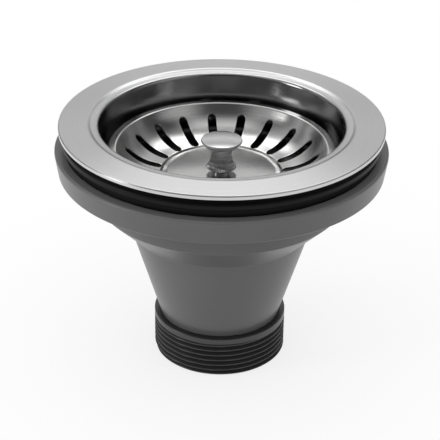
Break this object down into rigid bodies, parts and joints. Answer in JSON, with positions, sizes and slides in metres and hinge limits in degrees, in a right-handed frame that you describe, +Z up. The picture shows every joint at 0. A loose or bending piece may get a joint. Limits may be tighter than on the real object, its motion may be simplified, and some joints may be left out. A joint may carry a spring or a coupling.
{
  "type": "basket strainer waste",
  "caption": "Sink waste with a wide flanged dish, slotted lift-out basket with a pull knob, two gaskets and a funnel body ending in a threaded outlet.",
  "frame": {"origin": "centre of the outlet's end face, on the surface that the part stands on", "axes": "+Z up along the common axis of dish, basket, funnel and outlet; a basket slot lies 172.3 degrees round from +X"},
  "size_m": [0.1168, 0.1168, 0.0908],
  "materials": {
    "dish_steel": "satin brushed flange, polished wall",
    "basket_steel": "bright pressed",
    "knob_steel": "turned and polished",
    "screw_steel": "plain machined",
    "body_plastic": "satin moulded",
    "collar_plastic": "satin moulded",
    "black_rubber": "matt",
    "grey_rubber": "matt",
    "insert_brass": "plain"
  },
  "bodies": {
    "waste": {"flange_dish": "dish_steel", "flange_gasket": "black_rubber", "body_gasket": "grey_rubber", "funnel_body": "body_plastic", "outlet_collar": "collar_plastic", "collar_ring": "black_rubber", "boss_insert": "insert_brass", "screw_seal": "black_rubber", "screw_washer": "screw_steel", "clamp_screw": "screw_steel", "catch_spring": "screw_steel"},
    "basket": {"strainer_basket": "basket_steel", "knob": "knob_steel", "knob_washer": "knob_steel", "guide_post": "screw_steel", "basket_seal": "black_rubber", "seal_plate": "screw_steel", "lock_washer": "screw_steel", "post_nut": "screw_steel"}
  },
  "joints": [
    {"name": "basket_lift", "type": "slide", "parent": "waste", "child": "basket", "axis": [0, 0, 1], "range_m": [0, 0.008]}
  ]
}
